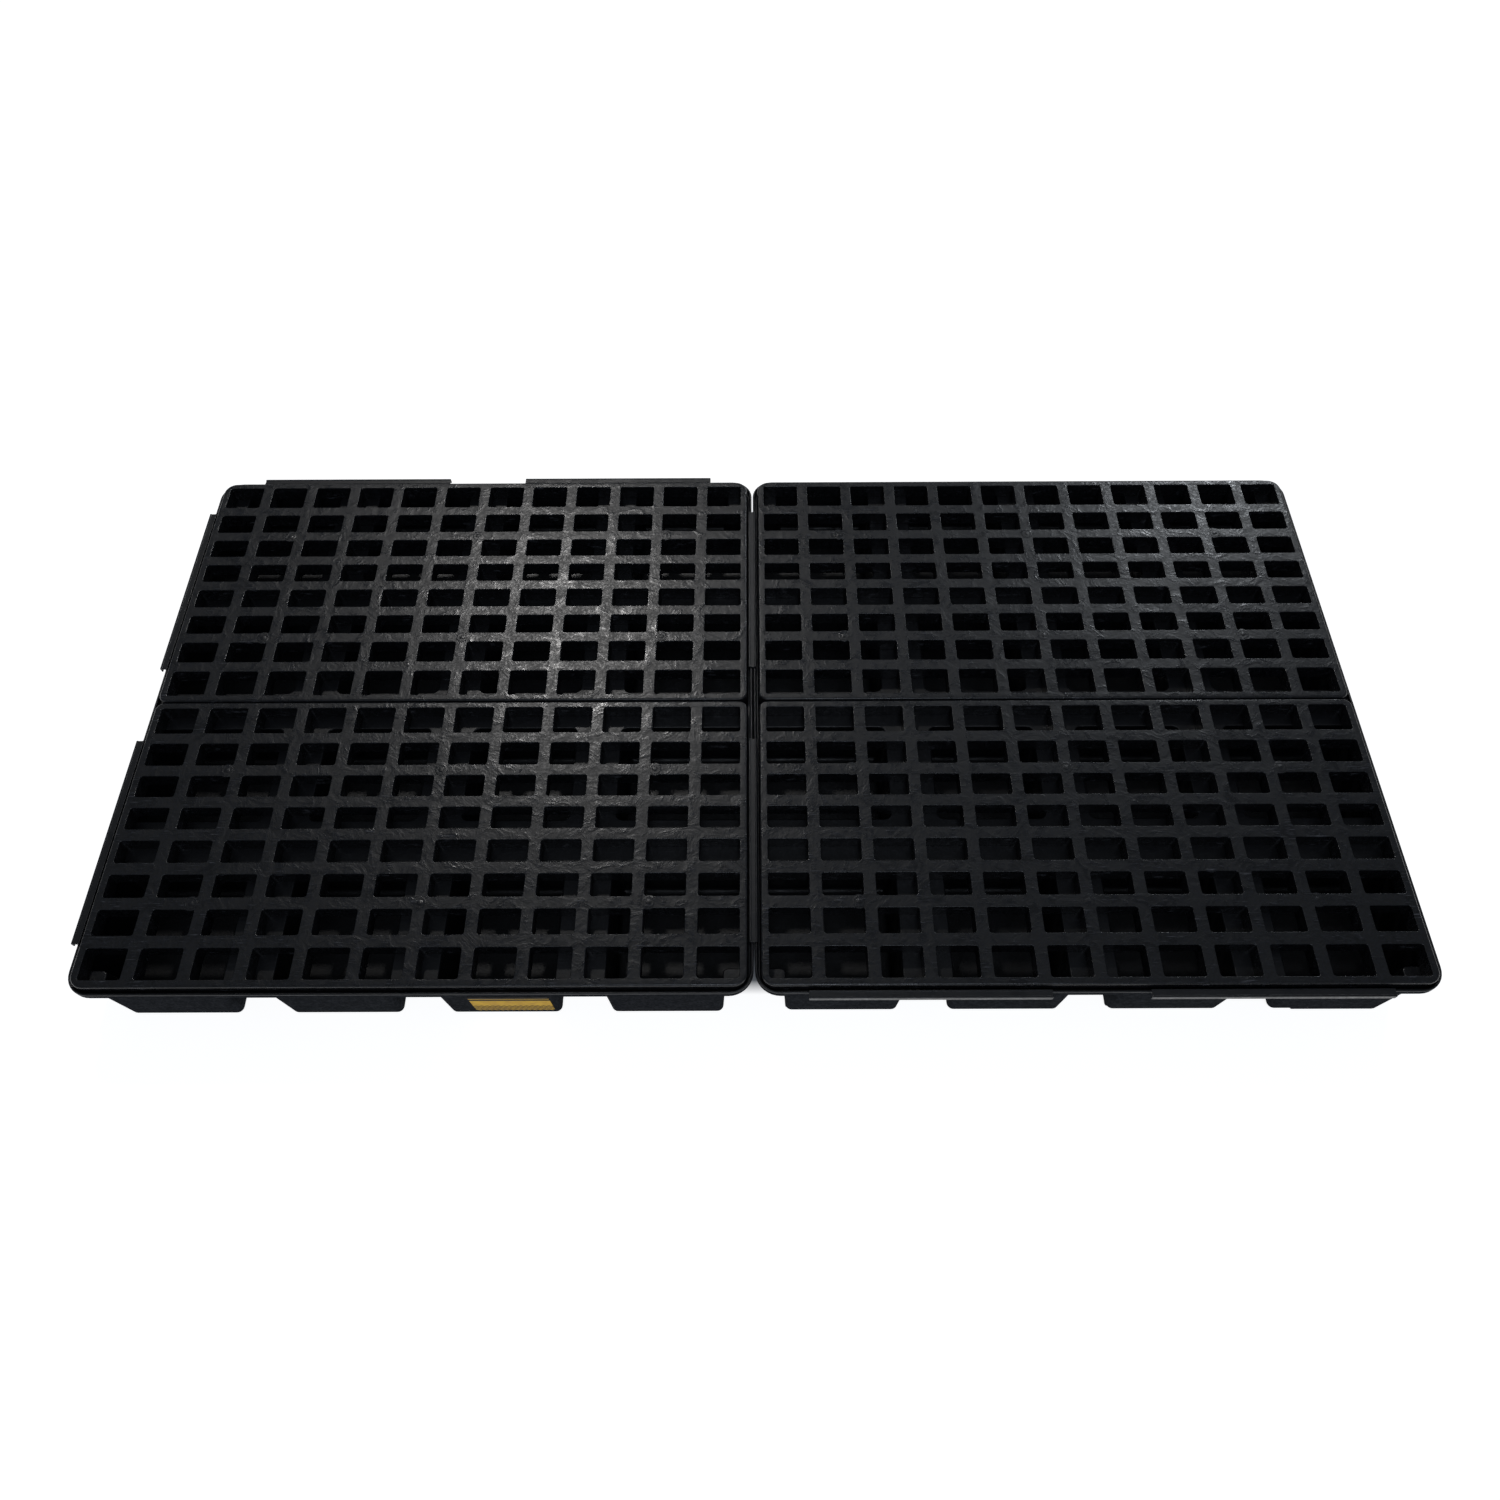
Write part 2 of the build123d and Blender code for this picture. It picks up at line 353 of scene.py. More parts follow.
def printed_vinyl(name, plate_box):
    """Screen-printed vinyl: yellow that hardly shines, with a fine orange-peel surface, slanted
    black bars along its lower edge and a black band with one thin yellow line along its top."""
    material, tree = new_material(name)
    place = add(tree, "ShaderNodeTexCoord").outputs["Object"]
    low, high = plate_box
    axes = add(tree, "ShaderNodeSeparateXYZ", {0: place})
    up = add(tree, "ShaderNodeMapRange", {"Value": axes.outputs["Z"], "From Min": low.z,
                                          "From Max": high.z})
    # The bars slant down to the right
    slant = add(tree, "ShaderNodeMath", {0: axes.outputs["X"], 1: axes.outputs["Z"]}, operation="ADD")
    stripe = add(tree, "ShaderNodeMath", {0: slant.outputs[0], 1: 1 / STRIPE_PITCH},
                 operation="MULTIPLY")
    phase = add(tree, "ShaderNodeMath", {0: stripe.outputs[0]}, operation="FRACT")
    bars = add(tree, "ShaderNodeValToRGB", {"Fac": phase.outputs[0]},
               [(0.0, 0.0), (0.44, 0.0), (0.50, 1.0), (0.96, 1.0)]).outputs["Color"]
    foot = add(tree, "ShaderNodeValToRGB", {"Fac": up.outputs["Result"]},
               [(0.36, 1.0), (0.38, 0.0)]).outputs["Color"]
    head = add(tree, "ShaderNodeValToRGB", {"Fac": up.outputs["Result"]},
               [(0.73, 0.0), (0.75, 1.0), (0.84, 1.0), (0.85, 0.0), (0.87, 0.0),
                (0.88, 1.0)]).outputs["Color"]
    striped = add(tree, "ShaderNodeMath", {0: bars, 1: foot}, operation="MULTIPLY")
    ink = add(tree, "ShaderNodeMath", {0: striped.outputs[0], 1: head}, operation="MAXIMUM")
    fade = add(tree, "ShaderNodeTexNoise", {"Vector": place, "Scale": 60.0, "Detail": 3.0})
    yellow = add(tree, "ShaderNodeValToRGB", {"Fac": fade.outputs["Fac"]},
                 [(0.3, linear("B98F2A")), (0.7, linear("D0A83E"))]).outputs["Color"]
    paint = add(tree, "ShaderNodeMix", {0: ink.outputs[0], 6: yellow, 7: linear("17150F")},
                data_type="RGBA")
    peel = add(tree, "ShaderNodeTexNoise", {"Vector": place, "Scale": 420.0, "Detail": 1.0})
    bump = add(tree, "ShaderNodeBump", {"Height": peel.outputs["Fac"], "Strength": 0.25,
                                        "Distance": 0.0004})
    gloss = add(tree, "ShaderNodeValToRGB", {"Fac": fade.outputs["Fac"]},
                [(0.3, 0.32), (0.7, 0.45)]).outputs["Color"]
    shader = add(tree, "ShaderNodeBsdfPrincipled",
                 {"Base Color": paint.outputs[2], "Roughness": gloss, "IOR": 1.52,
                  "Specular IOR Level": 0.01, "Normal": bump.outputs["Normal"]})
    add(tree, "ShaderNodeOutputMaterial", {"Surface": shader.outputs["BSDF"]})
    return material


def pale_floor(name):
    """Opal acrylic light table: an even white that glows from below, so shadows stay faint.
    Its lamps are off under the pallet, so that no light comes up through the seam of the units."""
    material, tree = new_material(name)
    place = add(tree, "ShaderNodeTexCoord").outputs["Object"]
    axes = add(tree, "ShaderNodeSeparateXYZ", {0: place})
    beyond = []
    for axis, reach in (("X", cad_box[1].x - UNLIT_INSET), ("Y", cad_box[1].y - UNLIT_INSET)):
        away = add(tree, "ShaderNodeMath", {0: axes.outputs[axis]}, operation="ABSOLUTE").outputs[0]
        beyond.append(add(tree, "ShaderNodeMapRange", {"Value": away, "From Max": reach,
                                                       "From Min": reach - UNLIT_EDGE}).outputs["Result"])
    open_floor = add(tree, "ShaderNodeMath", {0: beyond[0], 1: beyond[1]},
                     operation="MAXIMUM").outputs[0]
    glow = add(tree, "ShaderNodeMath", {0: open_floor, 1: FLOOR_GLOW},
               operation="MULTIPLY").outputs[0]
    shader = add(tree, "ShaderNodeBsdfPrincipled",
                 {"Base Color": linear("CCCCCC"), "Roughness": 0.8, "Specular IOR Level": 0.1,
                  "Emission Color": (1, 1, 1, 1), "Emission Strength": glow})
    add(tree, "ShaderNodeOutputMaterial", {"Surface": shader.outputs["BSDF"]})
    return material


# ---------------------------------------------------------------- sump

def foot_corners(span_x, span_y):
    """Plan of a foot at the floor, counterclockwise; a corner foot loses a square at its tip."""
    (x0, x1), (y0, y1) = span_x, span_y
    tip_x = x1 if x1 > 0 else x0
    tip_y = y1 if y1 > 0 else y0
    corners = rectangle(x0, x1, y0, y1)
    if abs(tip_x) != FOOT_OUTER[1] or abs(tip_y) != FOOT_OUTER[1]:
        return corners
    back_x = tip_x - FOOT_NOTCH * (1 if tip_x > 0 else -1)
    back_y = tip_y - FOOT_NOTCH * (1 if tip_y > 0 else -1)
    tip = corners.index((tip_x, tip_y))
    horizontal_first = corners[tip - 1][1] == tip_y
    notch = [(back_x, tip_y), (back_x, back_y), (tip_x, back_y)]
    return corners[:tip] + (notch if horizontal_first else notch[::-1]) + corners[tip + 1:]


def spread_at(z):
    """How far a foot's wall has moved out at a height."""
    return FOOT_SPREAD * z / SHELF_BOTTOM


def build_foot(bm, corners):
    """Outer skin and well of one foot; gives the two loops where they meet the shelf."""
    def ring(grow, z):
        return at_height(rounded_loop(corners, FOOT_CORNER, grow), z)

    outside = [ring(FOOT_SPREAD, SHELF_BOTTOM), ring(spread_at(FOOT_MIDDLE), FOOT_MIDDLE)]
    for angle in arc_steps(0, QUARTER):
        outside.append(ring(spread_at(FOOT_BOTTOM_ROUND) - FOOT_BOTTOM_ROUND * (1 - cos(angle)),
                            FOOT_BOTTOM_ROUND * (1 - sin(angle))))
    inside = []
    for angle in arc_steps(0, QUARTER, 3):
        inside.append(ring(FOOT_SPREAD - WALL + WELL_LIP_ROUND * (1 - sin(angle)),
                           SHELF_TOP - WELL_LIP_ROUND * (1 - cos(angle))))
    inside.append(ring(spread_at(FOOT_MIDDLE) - WALL, FOOT_MIDDLE))
    for angle in arc_steps(0, QUARTER):
        inside.append(ring(spread_at(WALL) - WALL - WELL_FLOOR_ROUND * (1 - cos(angle)),
                           WALL + WELL_FLOOR_ROUND * (1 - sin(angle))))
    outer_loops = skin(bm, outside, OUTSIDE)
    cap(bm, outer_loops[-1], (), OUTSIDE)
    well_loops = skin(bm, inside)
    cap(bm, well_loops[-1])
    return outer_loops[0], well_loops[0]


def rim_rings():
    """The rim's section swept round the square, in two runs: recess wall, groove and bead, then
    the outer band and the neck."""
    def ring(half, corner, z):
        return at_height(rounded_loop(rectangle(-half, half, -half, half), corner, 0, 9), z)

    bead = RIM_WALL / 2
    neck_corner = RIM_CORNER - RIM_WALL
    upper = []
    for angle in arc_steps(0, QUARTER, 3):
        inset = SHELF_EASE * (1 - sin(angle))
        upper.append(ring(RECESS_HALF - inset, RECESS_CORNER - inset,
                          SHELF_TOP + SHELF_EASE * (1 - cos(angle))))
    for angle in arc_steps(0, QUARTER, 3):
        upper.append(ring(RECESS_HALF + LEDGE_EASE * (1 - cos(angle)), RECESS_CORNER + 2,
                          RIM_LEDGE - LEDGE_EASE * (1 - sin(angle))))
    upper.append(ring(NECK_HALF - GROOVE_EASE, neck_corner - GROOVE_EASE, RIM_LEDGE))
    upper.append(ring(NECK_HALF, neck_corner, RIM_LEDGE + GROOVE_EASE))
    for angle in arc_steps(pi, 0, 8):
        out = bead * cos(angle)
        upper.append(ring(NECK_HALF + bead + out, RIM_CORNER - bead + out,
                          RIM_TOP - bead + bead * sin(angle)))
    below = [upper[-1]]
    for angle in arc_steps(0, QUARTER, 3):
        inset = BAND_EASE * (1 - cos(angle))
        below.append(ring(RIM_HALF - inset, RIM_CORNER - inset,
                          BAND_BOTTOM + BAND_EASE * (1 - sin(angle))))
    below.append(ring(NECK_HALF + NECK_EASE, neck_corner + 1, BAND_BOTTOM))
    below.append(ring(NECK_HALF, neck_corner, BAND_BOTTOM - NECK_EASE))
    below.append(ring(NECK_FOOT_HALF, neck_corner, SHELF_BOTTOM))
    return upper, below


def raise_steps(bm):
    """Lifts the feet's bottoms beside the first lip side into low steps with sloped ends."""
    far = -FOOT_OUTER[1]
    for edge, end in STEPS:
        inwards = 1 if end > edge else -1
        slope_end = end + inwards * STEP_SLOPE
        low, high = sorted((edge - inwards * STEP_MARGIN, slope_end))
        centres = [(face, face.calc_center_median()) for face in bm.faces]
        faces = [face for face, centre in centres
                 if centre.z < SOLE and centre.y * edge > 0
                 and far - STEP_MARGIN < centre.x < far + STEP_SEARCH_X
                 and low - STEP_SEARCH_Y < centre.y < high + STEP_SEARCH_Y]
        cuts = [((far + STEP_DEPTH, 0, 0), (1, 0, 0)),
                ((far + STEP_DEPTH + STEP_SLOPE, 0, 0), (1, 0, 0)),
                ((0, end, 0), (0, 1, 0)), ((0, slope_end, 0), (0, 1, 0))]
        for point, normal in cuts:
            faces = [f for f in faces if f.is_valid]
            edges = {e for f in faces for e in f.edges}
            verts = {v for f in faces for v in f.verts}
            cut = bmesh.ops.bisect_plane(bm, geom=[*verts, *edges, *faces], dist=1e-4,
                                         plane_co=point, plane_no=normal)
            faces = [g for g in cut["geom"] if isinstance(g, bmesh.types.BMFace)]
        outer = {v for f in faces if f.material_index == OUTSIDE for v in f.verts}
        for vert in {v for f in faces for v in f.verts if v.co.z < SOLE}:
            along = 1 - max(0, (vert.co.y - end) * inwards) / STEP_SLOPE
            across = 1 - max(0, vert.co.x - (far + STEP_DEPTH)) / STEP_SLOPE
            lift = max(0, min(along, across, 1)) * STEP_HEIGHT
            floor = lift if vert in outer else lift + WALL
            if lift > 0 and vert.co.z < floor:
                vert.co.z = floor


def build_lip(bm, centre, turn):
    """One hooked lip, on the -X side (turn 0) or the +Y side; its section lies across the rim, and
    its ends are squared and eased."""
    section = [(LIP_ROOT, LIP_ROOT_BOTTOM), (LIP_PLATE_END, LIP_ROOT_BOTTOM),
               (LIP_PLATE_END, LIP_PLATE_BOTTOM), (LIP_HOOK_INSIDE, LIP_PLATE_BOTTOM),
               (LIP_HOOK_INSIDE, LIP_HOOK_BOTTOM), (LIP_REACH, LIP_HOOK_BOTTOM), (LIP_REACH, LIP_TOP),
               (7.6, LIP_TOP), (6.6, LIP_GROOVE), (-1.6, LIP_GROOVE), (-2.6, LIP_TOP),
               (LIP_ROOT, LIP_TOP)]
    radii = [0.5, 0.5, 0.6, 0.6, 0.5, 0.8, 1.4, 0.8, 0.8, 0.8, 0.8, 1.2]
    rings = []
    half = LIP_LENGTH / 2
    for along, inset in ((-half, LIP_END_EASE), (-half + 0.25, 0.3), (-half + LIP_END_EASE, 0),
                         (half - LIP_END_EASE, 0), (half - 0.25, 0.3), (half, LIP_END_EASE)):
        loop = rounded_loop(section, radii, -inset, 3)
        if turn == 0:
            rings.append([Vector((-RIM_HALF - p.x, centre + along, p.y)) for p in loop])
        else:
            rings.append([Vector((centre + along, RIM_HALF + p.x, p.y)) for p in loop])
    loops = skin(bm, rings)
    cap(bm, loops[0])
    cap(bm, loops[-1])


def sump_mesh(name, place):
    """One sump in its own frame, lips on its -X and +Y sides, then set in place."""
    bm = bmesh.new()
    spans = [(-b, -a) for a, b in (FOOT_OUTER, FOOT_INNER)] + [FOOT_INNER, FOOT_OUTER]
    feet_loops, well_loops = [], []
    for span_x in spans:
        for span_y in spans:
            foot, well = build_foot(bm, foot_corners(span_x, span_y))
            feet_loops.append(foot)
            well_loops.append(well)
    upper, below = rim_rings()
    cap(bm, skin(bm, upper)[0], well_loops)
    cap(bm, skin(bm, below, OUTSIDE)[-1], feet_loops, OUTSIDE)
    raise_steps(bm)
    for turn in (0, 1):
        for centre in (-LIP_CENTRE, LIP_CENTRE):
            build_lip(bm, centre, turn)
    bmesh.ops.transform(bm, matrix=place, verts=bm.verts)
    return new_mesh(bm, name)


# ---------------------------------------------------------------- grate

def opening_object(name, depth):
    """The walls round one opening: eased top edge, upright wall, foot and the bar's inner wall."""
    corners = rectangle(-OPENING_LENGTH / 2, OPENING_LENGTH / 2, -depth / 2, depth / 2)
    profile = [(BAR_EDGE_ROUND * (1 - sin(a)), DECK - BAR_EDGE_ROUND * (1 - cos(a)))
               for a in arc_steps(0, QUARTER, 3)]
    profile += [(0.4, GRATE_BOTTOM + WALL_FOOT_EASE), (1.0, GRATE_BOTTOM),
                (BAR_WALL - WALL_FOOT_EASE, GRATE_BOTTOM),
                (BAR_WALL, GRATE_BOTTOM + WALL_FOOT_EASE), (BAR_WALL - 0.3, GRATE_CEILING)]
    return tool_object(name, corners, OPENING_CORNER, profile, 4)


def outline_object(name):
    """The grate's outer edge: a wide eased corner, the outer wall and its inner face."""
    half_x, half_y = grate_length / 2, grate_depth / 2
    corners = rectangle(-half_x, half_x, -half_y, half_y)
    radii = [GRATE_INNER_CORNER, GRATE_INNER_CORNER, GRATE_OUTER_CORNER, GRATE_OUTER_CORNER]
    profile = [(-FRAME_EDGE_ROUND * (1 - sin(a)), DECK - FRAME_EDGE_ROUND * (1 - cos(a)))
               for a in arc_steps(0, QUARTER, 5)]
    profile += [(0.0, GRATE_BOTTOM + WALL_FOOT_EASE), (-WALL_FOOT_EASE, GRATE_BOTTOM),
                (-BAR_WALL + WALL_FOOT_EASE, GRATE_BOTTOM),
                (-BAR_WALL, GRATE_BOTTOM + WALL_FOOT_EASE), (-BAR_WALL + 0.3, GRATE_CEILING)]
    return tool_object(name, corners, radii, profile, 8)


def tool_object(name, corners, radii, profile, segments):
    """A skin swept round an outline, in metres, for the grate's node tree to use."""
    bm = bmesh.new()
    skin(bm, [[p * MM for p in at_height(rounded_loop(corners, radii, grow, segments), z)]
              for grow, z in profile])
    return helper_object(name, bm)


def gate_mark_object(name):
    """A boss where the plastic was injected: a raised ring round a cut-off sprue, on a column."""
    profile = [(0.05, 164.95), (5.6, 164.95), (6.4, 164.3), (9.9, 164.3), (10.6, 165.0),
               (11.7, 165.0), (12.3, 164.75), (14.6, 164.75), (15.5, 163.8), (15.5, 141.0),
               (14.5, 140.0), (0.05, 140.0)]
    bm = bmesh.new()
    loops = skin(bm, [[Vector((r * cos(a), r * sin(a), z)) * MM
                       for a in (2 * pi * k / GATE_MARK_SIDES for k in range(GATE_MARK_SIDES))]
                      for r, z in profile])
    cap(bm, loops[0])
    cap(bm, loops[-1])
    return helper_object(name, bm)


def grate_tree():
    """Node tree of a grate: rows of openings inside the outline, skinned above and inside."""
    tree = bpy.data.node_groups.new("grate_of_openings", "GeometryNodeTree")
    tree.is_modifier = True
    face = tree.interface
    face.new_socket("Geometry", in_out="OUTPUT", socket_type="NodeSocketGeometry")
    for label, kind in (("Outline", "Object"), ("End opening", "Object"),
                        ("Second opening", "Object"), ("Middle opening", "Object"),
                        ("Gate mark", "Object"), ("Material", "Material"), ("Columns", "Int"),
                        ("Column pitch", "Float"), ("End rows apart", "Float"),
                        ("Second rows apart", "Float"), ("Middle rows", "Int"),
                        ("Middle rows apart", "Float"), ("Deck height", "Float"),
                        ("Ceiling height", "Float"), ("Gate marks apart X", "Float"),
                        ("Gate marks apart Y", "Float")):
        face.new_socket(label, in_out="INPUT", socket_type="NodeSocket" + kind)
    given = add(tree, "NodeGroupInput").outputs
    length = add(tree, "ShaderNodeMath", {0: given["Columns"], 1: -1.0}, operation="ADD")
    length = add(tree, "ShaderNodeMath", {0: length.outputs[0], 1: given["Column pitch"]},
                 operation="MULTIPLY").outputs[0]
    placed = []
    for label, apart, rows in (("End opening", given["End rows apart"], 2),
                               ("Second opening", given["Second rows apart"], 2),
                               ("Middle opening", given["Middle rows apart"], given["Middle rows"])):
        grid = add(tree, "GeometryNodeMeshGrid", {"Size X": length, "Size Y": apart,
                                                  "Vertices X": given["Columns"], "Vertices Y": rows})
        opening = add(tree, "GeometryNodeObjectInfo", {"Object": given[label]})
        placed.append(add(tree, "GeometryNodeInstanceOnPoints",
                          {"Points": grid.outputs["Mesh"],
                           "Instance": opening.outputs["Geometry"]}).outputs["Instances"])
    outline = add(tree, "GeometryNodeObjectInfo", {"Object": given["Outline"]})
    joined = add(tree, "GeometryNodeJoinGeometry",
                 {"Geometry": [*placed, outline.outputs["Geometry"]]})
    walls = add(tree, "GeometryNodeRealizeInstances",
                {"Geometry": joined.outputs["Geometry"]}).outputs["Geometry"]
    # Open rims of the walls: those at the deck are skinned above, the others inside the bars
    faces_beside = add(tree, "GeometryNodeInputMeshEdgeNeighbors").outputs["Face Count"]
    open_edge = add(tree, "FunctionNodeCompare", {2: faces_beside, 3: 1}, data_type="INT",
                    operation="EQUAL").outputs["Result"]
    position = add(tree, "GeometryNodeInputPosition").outputs["Position"]
    height = add(tree, "ShaderNodeSeparateXYZ", {0: position}).outputs["Z"]
    level = add(tree, "ShaderNodeMath", {0: given["Deck height"], 1: given["Ceiling height"]},
                operation="ADD").outputs[0]
    level = add(tree, "ShaderNodeMath", {0: level, 1: 0.5}, operation="MULTIPLY").outputs[0]
    above = add(tree, "FunctionNodeCompare", {0: height, 1: level}, data_type="FLOAT",
                operation="GREATER_THAN").outputs["Result"]
    below = add(tree, "FunctionNodeBooleanMath", {0: above}, operation="NOT").outputs[0]
    sheets = []
    for where, z in ((above, given["Deck height"]), (below, given["Ceiling height"])):
        chosen = add(tree, "FunctionNodeBooleanMath", {0: open_edge, 1: where}, operation="AND")
        loops = add(tree, "GeometryNodeMeshToCurve", {"Mesh": walls, "Selection": chosen.outputs[0]})
        sheet = add(tree, "GeometryNodeFillCurve", {"Curve": loops.outputs["Curve"]})
        lift = add(tree, "ShaderNodeCombineXYZ", {"Z": z})
        sheets.append(add(tree, "GeometryNodeTransform", {"Geometry": sheet.outputs["Mesh"],
                                                          "Translation": lift.outputs[0]}).outputs[0])
    marks_grid = add(tree, "GeometryNodeMeshGrid", {"Size X": given["Gate marks apart X"],
                                                    "Size Y": given["Gate marks apart Y"],
                                                    "Vertices X": 3, "Vertices Y": 2})
    mark = add(tree, "GeometryNodeObjectInfo", {"Object": given["Gate mark"]})
    marks = add(tree, "GeometryNodeInstanceOnPoints", {"Points": marks_grid.outputs["Mesh"],
                                                       "Instance": mark.outputs["Geometry"]})
    whole = add(tree, "GeometryNodeJoinGeometry",
                {"Geometry": [walls, *sheets, marks.outputs["Instances"]]})
    solid = add(tree, "GeometryNodeRealizeInstances", {"Geometry": whole.outputs["Geometry"]})
    merged = add(tree, "GeometryNodeMergeByDistance", {"Geometry": solid.outputs["Geometry"],
                                                       "Distance": 1e-5})
    finished = add(tree, "GeometryNodeSetMaterial", {"Geometry": merged.outputs["Geometry"],
                                                     "Material": given["Material"]})
    add(tree, "NodeGroupOutput", {"Geometry": finished.outputs["Geometry"]})
    return tree


def grate_template(material):
    """One grate about its own centre, as a plain mesh: local +Y is the rim side."""
    end_y = grate_depth / 2 - GRATE_FRAME - END_ROW / 2
    second_y = end_y - END_ROW / 2 - ROW_BAR - SECOND_ROW / 2
    third_y = second_y - SECOND_ROW / 2 - ROW_BAR - MIDDLE_ROW / 2
    tools = {"Outline": outline_object("tool_outline"),
             "End opening": opening_object("tool_end_opening", END_ROW),
             "Second opening": opening_object("tool_second_opening", SECOND_ROW),
             "Middle opening": opening_object("tool_middle_opening", MIDDLE_ROW),
             "Gate mark": gate_mark_object("tool_gate_mark")}
    sizes = {**tools, "Material": material, "Columns": COLUMNS, "Column pitch": COLUMN_PITCH * MM,
             "End rows apart": 2 * end_y * MM, "Second rows apart": 2 * second_y * MM,
             "Middle rows": MIDDLE_ROWS, "Middle rows apart": 2 * third_y * MM,
             "Deck height": DECK * MM, "Ceiling height": GRATE_CEILING * MM,
             "Gate marks apart X": GATE_MARKS_APART[0] * MM,
             "Gate marks apart Y": GATE_MARKS_APART[1] * MM}
    holder = add_object("grate_holder", bpy.data.meshes.new("grate_holder"))
    maker = holder.modifiers.new("openings", "NODES")
    maker.node_group = grate_tree()
    for item in maker.node_group.interface.items_tree:
        if item.in_out == "INPUT":
            maker[item.identifier] = sizes[item.name]
    bpy.context.view_layer.update()
    graph = bpy.context.evaluated_depsgraph_get()
    mesh = bpy.data.meshes.new_from_object(holder.evaluated_get(graph))
    for tool in (holder, *tools.values()):
        bpy.data.objects.remove(tool)
    return mesh


def grate_mesh(name, template, place):
    """A copy of the template, set in place."""
    bm = bmesh.new()
    bm.from_mesh(template)
    bmesh.ops.transform(bm, matrix=place, verts=bm.verts)
    return new_mesh(bm, name)


# ---------------------------------------------------------------- marking plate

def plate_mesh(name, place):
    """A thin plate with round corners and an eased edge, on the foot's leaning face."""
    lean = FOOT_SPREAD / SHELF_BOTTOM
    face_y = -(FOOT_OUTER[1] + PLATE_CENTRE[1] * lean)
    width, height = PLATE_SIZE
    corners = rectangle(-width / 2, width / 2, -height / 2, height / 2)
    lie = (Matrix.Translation((PLATE_CENTRE[0], face_y, PLATE_CENTRE[1]))
           @ Matrix.Rotation(QUARTER + atan(lean), 4, "X"))
    bm = bmesh.new()
    profile = [(-0.3, 0.02), (0.0, 0.02), (0.0, PLATE_THICK - 0.35), (-0.1, PLATE_THICK - 0.1),
               (-0.35, PLATE_THICK)]
    loops = skin(bm, [at_height(rounded_loop(corners, PLATE_CORNER, grow), z) for grow, z in profile])
    cap(bm, loops[0])
    cap(bm, loops[-1])
    bmesh.ops.transform(bm, matrix=place @ lie, verts=bm.verts)
    return new_mesh(bm, name)


# ---------------------------------------------------------------- studio

def area_light(name, place, target, size, power, colour):
    """A square soft box, in metres and watts, turned towards its target."""
    light = bpy.data.lights.new(name, "AREA")
    light.shape = "SQUARE"
    light.size = size
    light.energy = power
    light.color = colour
    lamp = bpy.data.objects.new(name, light)
    lamp.location = place
    lamp.rotation_euler = (Vector(target) - Vector(place)).to_track_quat("-Z", "Y").to_euler()
    bpy.context.scene.collection.objects.link(lamp)


def build_studio():
    """Glowing white floor; behind the pallet a small key on the left, a second on the right and a
    broad faint sheen; a wide fill in front, above and behind the camera."""
    bm = bmesh.new()
    bmesh.ops.create_grid(bm, x_segments=4, y_segments=4, size=FLOOR_HALF)
    bmesh.ops.translate(bm, verts=bm.verts, vec=(0, 0, -FLOOR_DROP))
    floor = helper_object("floor", bm)
    floor.data.materials.append(pale_floor("opal_acrylic_light_table"))
    world = bpy.data.worlds.new("studio")
    world.use_nodes = True
    background = world.node_tree.nodes["Background"]
    background.inputs["Color"].default_value = (0.8, 0.88, 1.0, 1)
    background.inputs["Strength"].default_value = 0.12
    bpy.context.scene.world = world
    area_light("key", (-1.62, 4.75, 6.3), (-0.44, 0.3, 0.1), 0.45, 84, (1.0, 0.98, 0.96))
    area_light("side_key", (3.9, 5.8, 4.6), (0.9, 0.4, 0.1), 0.8, 70, (0.90, 0.95, 1.0))
    area_light("sheen", (0.3, 5.6, 6.4), (0.0, 0.0, 0.1), 5.0, 5, (0.80, 0.88, 1.0))
    area_light("fill", (0.3, -3.6, 4.6), (0.0, -0.2, 0.1), 2.2, 55, (0.80, 0.88, 1.0))
    view = bpy.context.scene.view_settings
    view.view_transform = "Standard"
    view.look = "None"


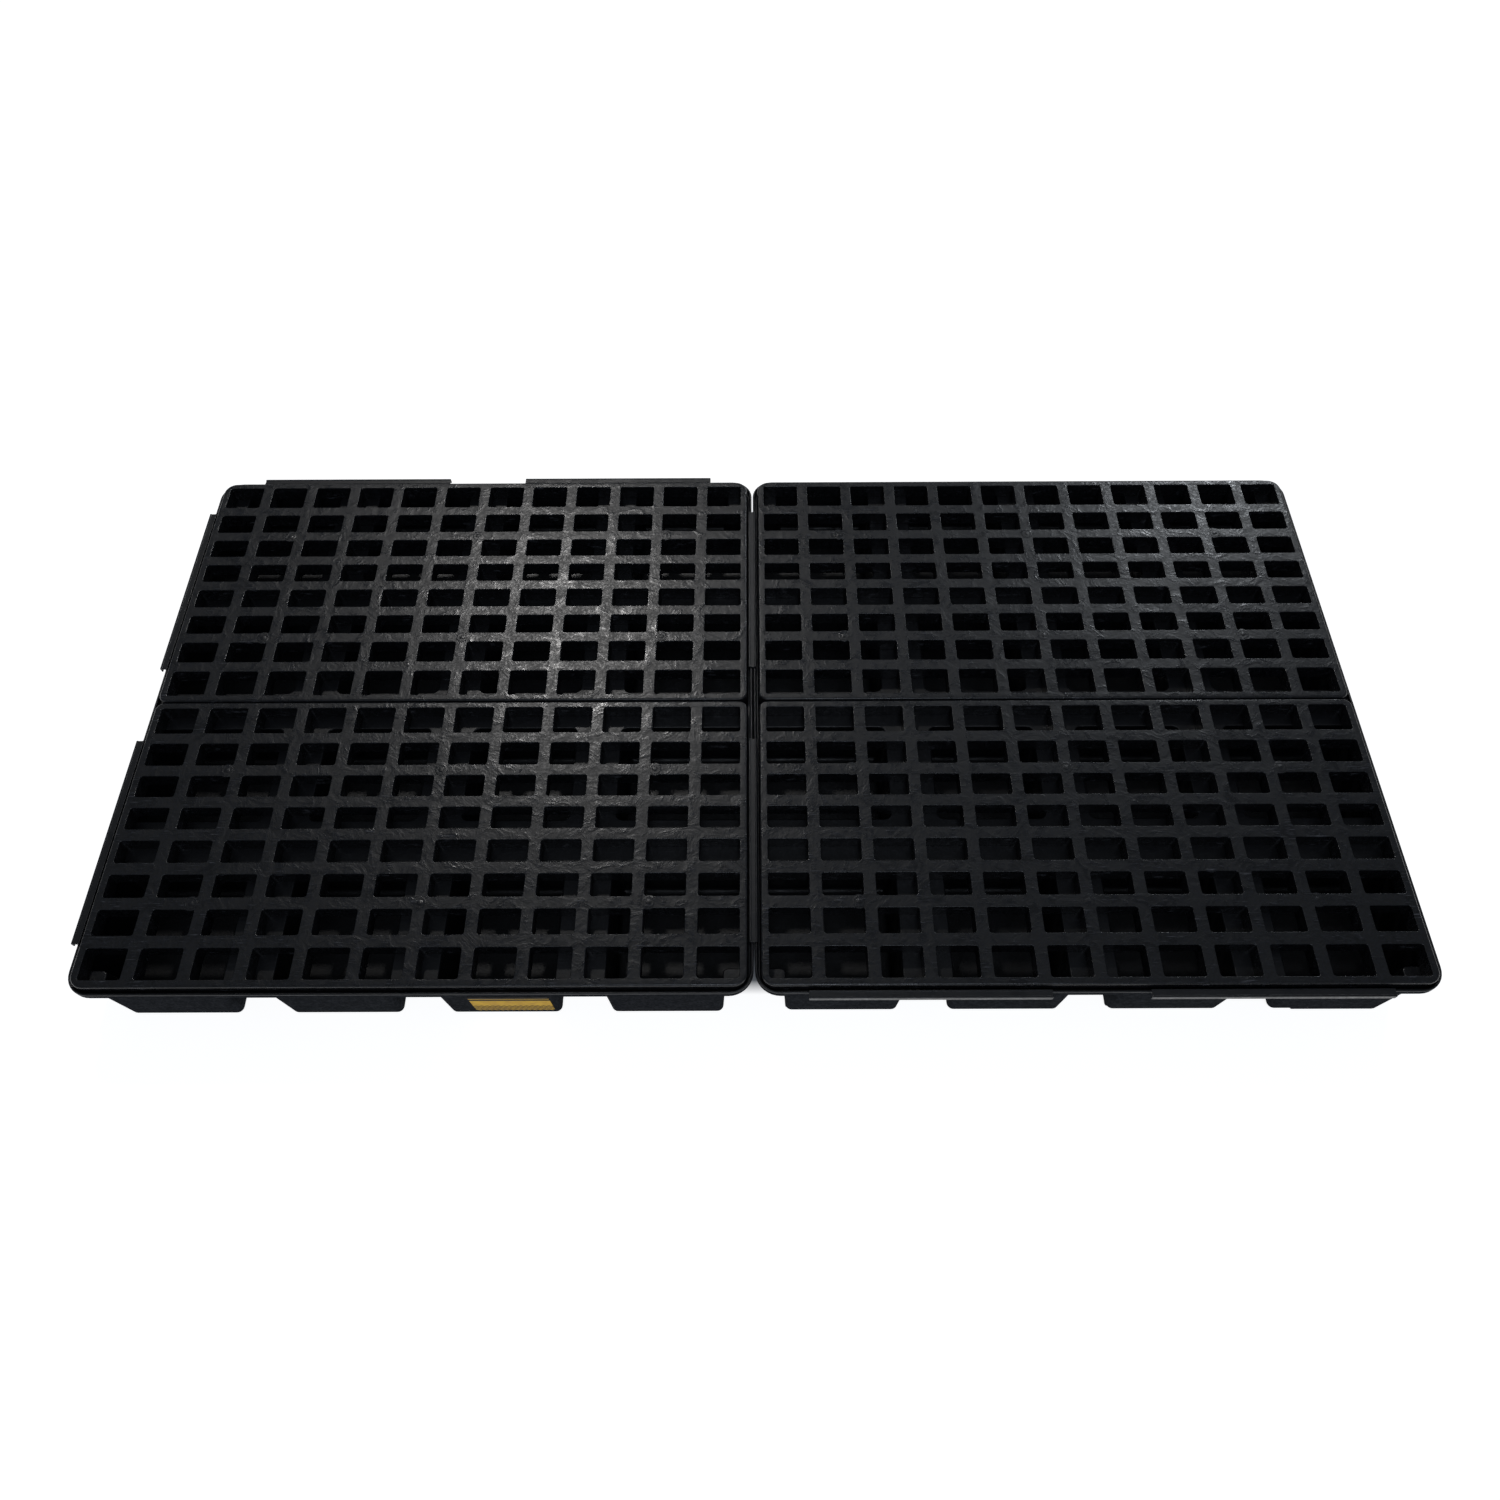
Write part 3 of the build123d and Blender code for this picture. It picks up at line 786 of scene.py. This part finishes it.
def build_camera():
    """Eye above and in front of the middle, looking 31 degrees away from straight down."""
    lens = bpy.data.cameras.new("camera")
    lens.sensor_width = 36.0
    lens.lens = 26.784
    camera = bpy.data.objects.new("camera", lens)
    camera.location = (0.00179, -1.32928, 2.19295)
    camera.rotation_euler = Euler([radians(a) for a in (30.6668, 0.1775, -0.1419)], "XYZ")
    bpy.context.scene.collection.objects.link(camera)
    bpy.context.scene.camera = camera


# ---------------------------------------------------------------- assembly

def centre_of(node):
    """The middle of a node's box, in metres."""
    low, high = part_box(node)
    return (low + high) / 2


grate_length = (COLUMNS - 1) * COLUMN_PITCH + OPENING_LENGTH + 2 * GRATE_FRAME
grate_depth = 2 * (END_ROW + SECOND_ROW + 2 * MIDDLE_ROW + GRATE_FRAME) + 7 * ROW_BAR
to_metres = Matrix.Scale(MM, 4)

build_camera()
build_studio()

rim_plastic = moulded_polyethylene("hdpe_moulded_black", "0A0B0E", "131418",
                                   (0.30, 0.48), 0.5, 0.001, 0.3)
# Etched so dull that the bright floor does not show in it
foot_plastic = moulded_polyethylene("hdpe_moulded_black_etched", "1B1D20", "26282C",
                                    (0.6, 0.8), 0.002, 0.001, 0.2)
# Polished by use, with deeper flow marks and the most scuffs
grate_plastic = moulded_polyethylene("hdpe_moulded_black_scuffed", "07080A", "1C1D21",
                                     (0.18, 0.42), 0.5, 0.003, 0.9)
plate_vinyl = printed_vinyl("vinyl_screen_printed_yellow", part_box("marking_plate"))

template = grate_template(grate_plastic)
for unit, body, turn in (("left", "root", 0), ("right", "right_sump", QUARTER)):
    middle = centre_of(unit + "_front_grate")
    place = Matrix.Translation((middle.x, 0, 0)) @ Matrix.Rotation(turn, 4, "Z") @ to_metres
    finish_piece(unit + "_sump_moulding", sump_mesh(unit + "_sump_moulding", place),
                 [rim_plastic, foot_plastic], body, unit + "_sump")
    for row, half_turn in (("front", pi), ("back", 0)):
        node = f"{unit}_{row}_grate"
        middle = centre_of(node)
        place_grate = Matrix.Translation((middle.x, middle.y, 0)) @ Matrix.Rotation(half_turn, 4, "Z")
        finish_piece(node + "_moulding", grate_mesh(node + "_moulding", template, place_grate),
                     [grate_plastic], node, node)

left_middle = centre_of("left_front_grate")
plate_place = Matrix.Translation((left_middle.x, 0, 0)) @ to_metres
finish_piece("yellow_marking_plate", plate_mesh("yellow_marking_plate", plate_place),
             [plate_vinyl], "root", "marking_plate")
